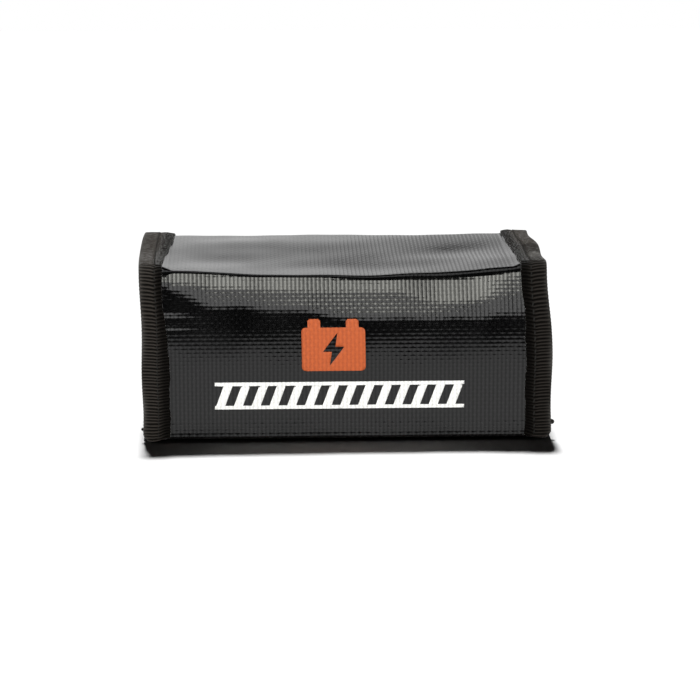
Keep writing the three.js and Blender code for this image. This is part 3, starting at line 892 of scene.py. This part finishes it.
def build_bindings():
    """The tapes round both ends, in three stretches that meet end to end, and their stitching."""
    widths = {-1: left_width, 1: right_width}
    # Painted shade: the right tape over the front is painted darker than the left one.
    painted_side_shade = {-1: 0.86, 1: 0.5}
    scuffs = {-1: None, 1: right_scuff}
    for side, label in SIDES:
        widen = widths[side]
        mapping = tape_on_covering(side)

        def widen_body(s, wide=widen(S_BACK_JOIN)):
            return 1 + (wide - 1) * (1 - smooth(S_BACK_JOIN, S_BACK_JOIN + 20, s))

        rear = binding(f"{label}_tape_over_back", S_MID_LID, S_BACK_JOIN, mapping, side=side, widen=widen)
        settle(rear, over_back, "tape")
        front = binding(
            f"{label}_tape_over_front",
            0,
            S_MID_LID,
            mapping,
            side=side,
            scuff=scuffs[side],
            widen=widen,
            tone=painted_side_shade[side],
        )
        settle(front, over_front, "tape", f"{label}_flap_binding", f"{label}_lid_binding")
        lower = binding(
            f"{label}_tape_round_body",
            S_BACK_JOIN,
            S_MOUTH,
            mapping,
            depth=body_tape_depth,
            side=side,
            widen=widen_body,
        )
        settle(lower, "body", "tape", f"{label}_body_binding")
        build_end_stitches(side, label)


def build_end_stitches(side, label):
    """Stitches through an end's tape, on its outer and its inner face."""

    def map_at(depth, outwards):
        return stitch_on_covering(side, depth, outwards)

    over_flap_and_lid = (f"{label}_flap_seam_thread", f"{label}_lid_seam_thread")
    stretches = (
        ("front", 1.2, S_MID_LID - 1, TAPE_DEPTH, over_front, over_flap_and_lid),
        ("back", S_MID_LID, S_BACK_JOIN - 1, TAPE_DEPTH, over_back, ()),
        ("body", S_BACK_JOIN, S_MOUTH - 1, BODY_TAPE_DEPTH, "body", (f"{label}_body_seam_thread",)),
    )
    for where, start, end, inner_depth, moves, nodes in stretches:
        first = math.ceil(start / STITCH_PITCH)
        last = math.floor(end / STITCH_PITCH)
        centres = np.arange(first, last + 1) * STITCH_PITCH
        stitch_both_faces(f"{label}_{where}", centres, map_at, inner_depth, moves, *nodes)


# ----------------------------------------------------------------------
# Ends and mouth

END_BULGE = 1.1


def end_plate(name, material, side, outer_x, inner_x, low, z_top):
    """One upright layer of an end wall, bulging a little, with the rounded lower corners of the body."""
    radius = LOW_CORNER - low
    corner = low + radius * (1 - np.cos(np.linspace(0.12, math.pi / 2, 9)))
    z_line = np.concatenate([corner, steps(low + radius, z_top, 1.6)[1:]])
    share = np.linspace(0, 1, 44)
    rise = np.clip(radius - (z_line - low), 0, radius)
    inset = radius - np.sqrt(np.clip(radius**2 - rise**2, 0, None))
    left = BODY_FRONT + low + inset
    right = BACK - low - inset
    y = left[:, None] + (right - left)[:, None] * share[None, :]
    z = np.broadcast_to(z_line[:, None], y.shape)
    height = (z - low) / (z_top - low)
    out = END_BULGE * np.sin(share * math.pi)[None, :] * np.sin(np.clip(height, 0, 1) * math.pi) ** 0.8
    out = out + 0.12 * np.sin(y * 0.21 + z * 0.13) * np.sin(share * math.pi)[None, :]
    faces_out = np.stack([np.full_like(y, outer_x), y, z], axis=-1)
    faces_in = np.stack([np.full_like(y, inner_x), y, z], axis=-1)
    faces_out[..., 0] += out
    faces_in[..., 0] += out
    loop = np.concatenate([faces_out, faces_in[:, ::-1]], axis=1)
    loop[..., 0] *= side
    weave = flat_weave(loop[..., 1], loop[..., 2])
    return make_piece(name, warp(loop), tube_faces(*loop.shape[:2]), material, weave)


def build_ends():
    """Each end's cloth, with the lip that the tape binds, and the lining and felt behind it."""
    cloth_x = TAPE_X - 0.5
    lip_low = CLOTH[1] + AIR
    inner_low = LINING[1] + AIR
    z_top = MOUTH - MOUTH_INSET
    lining_low, lining_high = box_mm("right_end_lining")
    felt_low, felt_high = box_mm("right_end_felt")
    for side, label in SIDES:
        board = f"{label}_end_felt_board"
        name = f"{label}_end_cloth"
        wall = end_plate(name, BLACK_CLOTH, side, cloth_x, cloth_x - CLOTH_THICK, lip_low, z_top)
        settle(wall, "body", "cloth", f"{label}_end_panel")
        lip = end_lip(f"{label}_end_lip", side, cloth_x, lip_low)
        settle(lip, "body", "cloth")
        name = f"{label}_end_inner_lining"
        lining = end_plate(name, GREY_LINING, side, lining_high[0], lining_low[0], inner_low, z_top)
        settle(lining, "body", "lining", f"{label}_end_lining")
        felt = end_plate(board, FELT_FIBRE, side, felt_high[0], felt_low[0], inner_low, z_top)
        settle(felt, "body", "felt", f"{label}_end_felt")


def end_lip(name, side, plate_x, depth):
    """The strip of end cloth that is turned out along the wrap, and runs into the tape."""
    along = steps(S_BACK + 3, S_MOUTH - 1, 1.2)[:, None]
    line = np.linspace(plate_x - 0.2, SHEET_HALF - 0.6, 8)
    x = np.concatenate([line, line[::-1]])[None, :] * side
    deep = np.concatenate([np.full(8, depth), np.full(8, depth + CLOTH_THICK)])[None, :]
    x, s = np.broadcast_arrays(x, along)
    points = place(x, s, np.broadcast_to(deep, s.shape))
    return make_piece(name, points, tube_faces(*s.shape), BLACK_CLOTH, flat_weave(x, s))


def build_knots():
    """The fused ends of the flap's threads: a small bead on the outer edge of each tape, near its foot."""
    for side, label in SIDES:
        along, size = (6.2, 1.0) if side > 0 else (4.6, 0.6)
        polar = np.linspace(0.15, math.pi - 0.15, 9)[:, None]
        around = np.linspace(0, 2 * math.pi, 12, endpoint=False)[None, :]
        lump = 1 + 0.12 * np.sin(3 * around + 2 * polar)
        edge = -0.25 * size + size * lump * np.cos(polar) + 0 * around
        s = along + size * lump * np.sin(polar) * np.cos(around)
        depth = TAPE_DEPTH / 2 + size * lump * np.sin(polar) * np.sin(around)
        points = place(side * (HALF - edge), s, depth)
        bead = make_piece(f"{label}_thread_end", points, tube_faces(*s.shape), THREAD, sharp=80)
        settle(bead, "front_flap", "thread")


def build_mouth():
    """The tape over the top edges of the front wall and of both end walls, and its stitching."""

    def on_front(along, edge, depth):
        return place(along, S_MOUTH - edge, depth)

    low, high = box_mm("front_mouth_binding")
    front = binding("front_mouth_tape", low[0] + 0.2, high[0] - 0.2, on_front, phase=0.4)
    settle(front, "body", "tape", "front_mouth_binding")

    def map_at(depth, outwards):
        return lambda along, across, up: place(along, S_MOUTH - SEAM_INSET + across, depth - outwards * up)

    centres = steps(low[0] + 3, high[0] - 3, STITCH_PITCH)
    stitch_both_faces("front_mouth", centres, map_at, TAPE_DEPTH, "body", "front_mouth_seam_thread")
    for side, label in SIDES:
        build_end_mouth(side, label)


def build_end_mouth(side, label):
    low, high = box_mm("right_mouth_binding")

    def on_end(along, edge, depth):
        along, edge, depth = np.broadcast_arrays(along, edge, depth)
        out = 0.35 * np.sin((along - low[1]) / (high[1] - low[1]) * math.pi) * smooth(0, 10, edge)
        return warp(np.stack([side * (high[0] - depth + out), along, MOUTH - edge], axis=-1))

    tape = binding(f"{label}_mouth_tape", low[1] + 0.3, high[1] - 0.3, on_end, side=side, phase=0.7)
    settle(tape, "body", "tape", f"{label}_mouth_binding")

    def map_at(depth, outwards):
        return lambda along, across, up: on_end(along, SEAM_INSET + across, depth - outwards * up)

    centres = steps(low[1] + 3, high[1] - 3, STITCH_PITCH)
    stitch_both_faces(f"{label}_mouth", centres, map_at, TAPE_DEPTH, "body", f"{label}_mouth_seam_thread")


# ----------------------------------------------------------------------
# Hook and loop


def strip_plate(name, node, material, shown_side, thickness):
    """The woven backing of a fastening strip. shown_side is -1 if it faces the front and 1 if it faces the
    back. Returns the piece, the strip's lowest and highest corner, and the y of its shown face."""
    low, high = box_mm(node)
    back_face = high[1] if shown_side < 0 else low[1]
    shown_face = back_face + shown_side * thickness
    shoulder = shown_face - shown_side * 0.15
    x_line = steps(low[0], high[0], 1.5)
    z_line = steps(low[2], high[2], 1.5)
    rows = len(z_line)
    z = np.concatenate([z_line, [high[2] + 0.05], [high[2]], z_line[::-1], [low[2] - 0.05]])
    y = np.array([back_face] * rows + [shoulder] * 2 + [shown_face] * rows + [shoulder])
    grid = np.stack(np.broadcast_arrays(x_line[:, None], y[None, :], z[None, :]), axis=-1)
    piece = make_piece(name, warp(grid), tube_faces(*grid.shape[:2]), material, grid[..., [0, 2, 1]])
    return piece, low, high, shown_face


def bristles(name, material, centres, shape, radius, turned):
    """Many thin bent fibres. centres are their roots, shape is each one's line, and turned its angle in the
    strip."""
    sides = 4
    around = np.linspace(0, 2 * math.pi, sides, endpoint=False)
    bends = len(shape)
    tangent = np.gradient(shape, axis=0)
    tangent /= np.linalg.norm(tangent, axis=1)[:, None]
    across = np.array([0.0, 0.0, 1.0])
    second = np.cross(tangent, across)
    ring = second[:, None, :] * np.cos(around)[None, :, None] + across * np.sin(around)[None, :, None]
    tube = (shape[:, None, :] + radius * ring).reshape(-1, 3)
    faces = []
    points = []
    for number, (centre, angle) in enumerate(zip(centres, turned)):
        cosine, sine = math.cos(angle), math.sin(angle)
        x = tube[:, 0] * cosine - tube[:, 2] * sine
        z = tube[:, 0] * sine + tube[:, 2] * cosine
        points.append(np.stack([x, tube[:, 1], z], axis=1) + centre)
        faces += tube_faces(bends, sides, first=number * bends * sides)
    return make_piece(name, warp(np.concatenate(points)), faces, material, sharp=80)


def build_hooks():
    """Hook tape on the flap, in rows of bent hooks, and its seam."""
    hook, low, high, face = strip_plate("hook_tape", "hook_strip", HOOK_PLASTIC, 1, 0.45)
    settle(hook, "front_flap", "hook_and_loop", "hook_strip")
    columns = np.arange(low[0] + 3, high[0] - 2.5, 1.7)
    rows = np.arange(low[2] + 3, high[2] - 2.5, 1.5)
    spots = np.array([(x + 0.4 * (i % 2), face, z) for i, z in enumerate(rows) for x in columns])
    half_width, radius = 0.25, 0.085
    bend = np.linspace(0, math.pi * 0.95, 6)
    stem = np.array([[-half_width, -0.02, 0], [-half_width, 0.18, 0]])
    crook = np.stack([-half_width * np.cos(bend), 0.2 + 0.24 * np.sin(bend), np.zeros(6)], axis=1)
    shape = np.concatenate([stem, crook])
    hooks = bristles("hook_bristles", HOOK_PLASTIC, spots, shape, radius, np.zeros(len(spots)))
    settle(hooks, "front_flap", "hook_and_loop")
    strip_seam("hook_tape_stitches", "hook_strip_seam_thread", "front_flap", low, high, face, 1)


def build_loops():
    """Loop tape on the front wall, with its random pile, and its seam."""
    loop, low, high, face = strip_plate("loop_tape", "loop_strip", LOOP_FIBRE, -1, 0.6)
    settle(loop, "body", "hook_and_loop", "loop_strip")
    count, margin, radius = 2600, 2.8, 0.05
    x = RANDOM.uniform(low[0] + margin, high[0] - margin, count)
    z = RANDOM.uniform(low[2] + margin, high[2] - margin, count)
    spots = np.stack([x, np.full(count, face), z], axis=1)
    bend = np.linspace(0, math.pi, 6)
    arch = np.stack([-0.55 * np.cos(bend), 0.03 - 0.48 * np.sin(bend), 0.1 * np.sin(2 * bend)], axis=1)
    pile = bristles("loop_pile", LOOP_FIBRE, spots, arch, radius, RANDOM.uniform(0, 2 * math.pi, count))
    settle(pile, "body", "hook_and_loop")
    strip_seam("loop_tape_stitches", "loop_strip_seam_thread", "body", low, high, face, -1)


def strip_seam(name, node, body, low, high, face, outwards):
    """Stitches all round a strip, two millimetres in from its edge."""
    inset = 2.0
    left, bottom = low[0] + inset, low[2] + inset
    right, top = high[0] - inset, high[2] - inset
    corners = np.array([[left, bottom], [right, bottom], [right, top], [left, top]])
    pieces = []
    for first, second in zip(corners, np.roll(corners, -1, axis=0)):
        length = np.linalg.norm(second - first)
        direction = (second - first) / length
        beside = np.array([-direction[1], direction[0]])
        centres = steps(1.3, length - 1.3, STITCH_PITCH)

        def on_strip(along, across, up, first=first, direction=direction, beside=beside):
            flat = first + along[..., None] * direction + across[..., None] * beside
            y = np.full(flat.shape[:-1], face) + outwards * up
            return warp(np.stack([flat[..., 0], y, flat[..., 1]], axis=-1))

        pieces.append(stitches(name, centres, on_strip))
    settle(join_pieces(name, pieces), body, "thread", node)


def join_pieces(name, pieces):
    """Several pieces as one object."""
    work = bmesh.new()
    for piece in pieces:
        work.from_mesh(piece.data)
    mesh = bpy.data.meshes.new(name)
    work.to_mesh(mesh)
    work.free()
    mesh.materials.append(pieces[0].data.materials[0])
    mesh.shade_smooth()
    for piece in pieces:
        bpy.data.objects.remove(piece)
    return add_object(name, mesh)


# ----------------------------------------------------------------------
# Print

INK_LIFT = 0.09
INK_THICK = 0.07
INK_EDGE = 1.6


def rounded_rectangle(x0, z0, x1, z1, radius):
    """The outline of a rectangle, with six points to each corner, from the lower right one round."""
    points = []
    for centre_x, centre_z, first in (
        (x1 - radius, z0 + radius, -math.pi / 2),
        (x1 - radius, z1 - radius, 0),
        (x0 + radius, z1 - radius, math.pi / 2),
        (x0 + radius, z0 + radius, math.pi),
    ):
        for angle in np.linspace(first, first + math.pi / 2, 6):
            points.append((centre_x + radius * math.cos(angle), centre_z + radius * math.sin(angle)))
    return points


def ink_piece(name, outlines, material):
    """A film of ink on the flap, from closed outlines: the first is its edge, and the others its holes."""
    curve = bpy.data.curves.new(name, "CURVE")
    curve.dimensions = "2D"
    curve.fill_mode = "FRONT"
    for outline in outlines:
        spline = curve.splines.new("POLY")
        spline.points.add(len(outline) - 1)
        for point, (x, z) in zip(spline.points, outline):
            point.co = (x, z, 0, 1)
        spline.use_cyclic_u = True
    holder = add_object(name + "_outline", curve)
    bpy.context.view_layer.update()
    flat = bpy.data.meshes.new_from_object(holder.evaluated_get(bpy.context.evaluated_depsgraph_get()))
    bpy.data.objects.remove(holder)
    work = bmesh.new()
    work.from_mesh(flat)
    bmesh.ops.remove_doubles(work, verts=work.verts, dist=1e-4)
    for _ in range(6):
        long_edges = [edge for edge in work.edges if edge.calc_length() > INK_EDGE]
        if not long_edges:
            break
        bmesh.ops.subdivide_edges(work, edges=long_edges, cuts=1)
        bmesh.ops.triangulate(work, faces=work.faces)
    bmesh.ops.triangulate(work, faces=work.faces)
    shape = np.array([vertex.co[:2] for vertex in work.verts])
    faces = [[vertex.index for vertex in face.verts] for face in work.faces]
    work.free()
    x, s = shape[:, 0], shape[:, 1] - FLAP_LOW
    top = place(x, s, CLOTH[0] + ruffled(x, s) - INK_LIFT)
    piece = make_piece(name, top, faces, material, flat_weave(x, s))
    solid = piece.modifiers.new("film", "SOLIDIFY")
    solid.thickness = INK_THICK * MM
    solid.offset = -1
    towards = sum((polygon.normal.y for polygon in piece.data.polygons), 0.0)
    if towards > 0:
        piece.data.flip_normals()
    bpy.context.view_layer.update()
    final = bpy.data.meshes.new_from_object(piece.evaluated_get(bpy.context.evaluated_depsgraph_get()))
    piece.modifiers.clear()
    piece.data = final
    return piece


def build_emblem():
    """A battery with a lightning bolt cut out of it."""
    low, high = box_mm("battery_emblem_print")
    left, right = low[0], high[0]
    post, bevel, post_height = 5.0, 0.8, 3.6
    case_top = high[2] - post_height
    centre_x, centre_z = (left + right) / 2, (low[2] + case_top) / 2
    case = rounded_rectangle(left, low[2], right, case_top, 1.6)
    half = len(case) // 2
    terminals = []
    for x in (right - 0.2 * (right - left), left + 0.2 * (right - left)):
        right_side, left_side = x + post / 2, x - post / 2
        terminals += [(right_side, case_top), (right_side, high[2] - bevel), (right_side - bevel, high[2])]
        terminals += [(left_side + bevel, high[2]), (left_side, high[2] - bevel), (left_side, case_top)]
    outline = case[:half] + terminals + case[half:]
    bolt = [(1.6, 6.6), (-4.2, -1.0), (-0.7, -1.0), (-1.6, -6.6), (4.2, 1.0), (0.7, 1.0)]
    hole = [(centre_x + x, centre_z + z) for x, z in bolt]
    emblem = ink_piece("battery_emblem_ink", [outline, hole], ORANGE_INK)
    settle(emblem, "front_flap", "orange_print", "battery_emblem_print")


def build_band():
    """A band of slanted bars between two rails, under the emblem."""
    low, high = box_mm("slanted_band_print")
    width, height = high[0] - low[0], high[2] - low[2]
    rail, bars, slant = 1.4, 14, 4.0
    pitch = (width - slant) / (bars - 0.5)
    last = (bars - 0.5) * pitch
    run = slant * rail / height

    def at(x, z):
        return (low[0] + x, low[2] + z)

    def at_low_rail(x):
        return at(x + run, rail)

    def at_high_rail(x):
        return at(x + slant - run, height - rail)

    edge = [at(0, 0), at(width, 0), at(width, rail), at_low_rail(last), at_high_rail(last)]
    edge += [at(width, height - rail), at(width, height), at(0, height), at(0, height - rail)]
    edge += [at_high_rail(0), at_low_rail(0), at(0, rail)]
    holes = []
    for number in range(bars - 1):
        start = (number + 0.5) * pitch
        end = (number + 1) * pitch
        holes.append([at_low_rail(start), at_low_rail(end), at_high_rail(end), at_high_rail(start)])
    band = ink_piece("slanted_band_ink", [edge, *holes], WHITE_INK)
    settle(band, "front_flap", "white_print", "slanted_band_print")


# ----------------------------------------------------------------------
# Studio

BAG_MIDDLE = (0, 0, 0.04)
LID_MIDDLE = (0, 0, 0.05)
WARM = (1, 1, 0.93)


def aim(item, direction):
    """Turns a camera or light so that it looks in a direction."""
    item.rotation_mode = "QUATERNION"
    item.rotation_quaternion = direction.to_track_quat("-Z", "Y")


def build_camera():
    """The camera of the view: a little to the left of the bag and 13 degrees above it."""
    azimuth, elevation = math.radians(-2.16), math.radians(12.86)
    distance = 1.077
    level = math.cos(elevation)
    back = Vector((math.sin(azimuth) * level, -math.cos(azimuth) * level, math.sin(elevation)))
    right = Vector((math.cos(azimuth), math.sin(azimuth), 0))
    up = back.cross(right)
    centre = Vector((0, 0, 0.0325)) + right * 0.0034 - up * 0.0044
    data = bpy.data.cameras.new("camera")
    data.sensor_width = 36
    data.lens = 136.4
    camera = add_object("camera", data)
    camera.location = centre + back * distance
    aim(camera, -back)
    bpy.context.scene.camera = camera


def receivers(name, objects):
    """A collection of what a light may shine on."""
    collection = bpy.data.collections.new(name)
    for item in objects:
        collection.objects.link(item)
    return collection


def area_light(name, location, target, size, power, lit, colour=(1, 1, 1)):
    """A card of light that faces its target, and shines on the pieces in lit alone."""
    data = bpy.data.lights.new(name, "AREA")
    data.shape = "RECTANGLE"
    data.size, data.size_y = size
    data.energy = power
    data.color = colour
    light = add_object(name, data)
    light.location = location
    aim(light, Vector(target) - Vector(location))
    light.visible_camera = False
    light.light_linking.receiver_collection = lit


def sun_light(name, towards, strength, width, lit):
    """A distant light that lies in a direction. width is how wide it looks, in degrees."""
    data = bpy.data.lights.new(name, "SUN")
    data.energy = strength
    data.angle = math.radians(width)
    light = add_object(name, data)
    aim(light, -Vector(towards))
    light.light_linking.receiver_collection = lit


def build_floor():
    """A pale floor, with barely visible clouds in its tone."""
    nodes = Nodes("pale_floor")
    where = nodes.new("ShaderNodeTexCoord").outputs["Object"]
    nodes.shade("Base Color", nodes.mix(nodes.noise(where, 3.0), grey(0.49), grey(0.51)))
    nodes.shade("Roughness", 0.9)
    nodes.shade("Specular IOR Level", 0.0)
    mesh = bpy.data.meshes.new("floor")
    near, far, side = -0.42, 1.5, 1.5
    corners = [(-side, near, 0), (side, near, 0), (side, far, 0), (-side, far, 0)]
    mesh.from_pydata(corners, [], [(0, 1, 2, 3)])
    mesh.materials.append(nodes.material)
    floor = add_object("floor", mesh)
    floor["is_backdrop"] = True
    return floor


def build_lights(floor):
    """One light above and behind for the floor, and cards that only the bag sees: in front, behind, beside
    and above it."""
    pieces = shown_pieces()
    bag = receivers("bag", pieces)
    tapes = receivers("tapes", [piece for piece in pieces if piece.data.materials[0] == TAPE])
    matt = receivers("matt_pieces", [piece for piece in pieces if piece.data.materials[0] != BLACK_CLOTH])
    glossy = receivers("glossy_pieces", [piece for piece in pieces if piece.data.materials[0] == BLACK_CLOTH])
    ground = receivers("ground", [floor])

    sun_light("key", (-0.03, 0.4, 1.0), 7.2, 5.5, ground)
    for label, x, width, power in (("left", -0.355, 0.79, 12), ("right", 0.395, 0.71, 4.8)):
        name = f"front_card_high_{label}"
        area_light(name, (x, -1.62, 0.98), (x, 0, 0.04), (width, 0.56), power, bag, WARM)
    area_light("front_card_low", (0, -1.84, 0.5), BAG_MIDDLE, (1.5, 0.38), 4.2, bag)
    for ending, power, lit in (("card", 20, matt), ("soft_card", 4.5, glossy)):
        for side, label in SIDES:
            corner = (side * 1.5, -1.25, 0.9)
            area_light(f"front_{label}_{ending}", corner, BAG_MIDDLE, (1.4, 1.1), power, lit)
    area_light("top_card", (0, 0.1, 1.3), LID_MIDDLE, (0.9, 0.7), 1.8, bag)
    area_light("tape_card", (0, 0.25, 1.3), LID_MIDDLE, (0.9, 0.5), 14, tapes)
    for label, x, width, power in (("left", -0.58, 1.44, 3.32), ("right", 0.72, 1.16, 1.7)):
        area_light(f"back_card_{label}", (x, 1.5, 0.42), (x, 0, 0.06), (width, 0.8), power, bag)
    for side, label in SIDES:
        area_light(f"{label}_card", (side * 1.4, 0.2, 0.5), BAG_MIDDLE, (1.6, 1.1), 4.5, bag)


def build_world():
    """White behind everything for the camera, and nearly black for the light that falls on the bag."""
    world = bpy.data.worlds.new("studio")
    world.use_nodes = True
    tree = world.node_tree
    background = tree.nodes["Background"]
    white = tree.nodes.new("ShaderNodeBackground")
    white.inputs["Color"].default_value = (1, 1, 1, 1)
    background.inputs["Color"].default_value = (0.006, 0.006, 0.006, 1)
    ray = tree.nodes.new("ShaderNodeLightPath")
    choice = tree.nodes.new("ShaderNodeMixShader")
    tree.links.new(ray.outputs["Is Camera Ray"], choice.inputs[0])
    tree.links.new(background.outputs[0], choice.inputs[1])
    tree.links.new(white.outputs[0], choice.inputs[2])
    tree.links.new(choice.outputs[0], tree.nodes["World Output"].inputs["Surface"])
    bpy.context.scene.world = world
    bpy.context.scene.view_settings.view_transform = "Standard"


build_camera()
build_felts()
covering = build_covering()
build_hem()
build_linings()
build_bindings()
build_knots()
build_mouth()
build_ends()
declare_covering(*covering)
build_hooks()
build_loops()
build_emblem()
build_band()
build_lights(build_floor())
build_world()
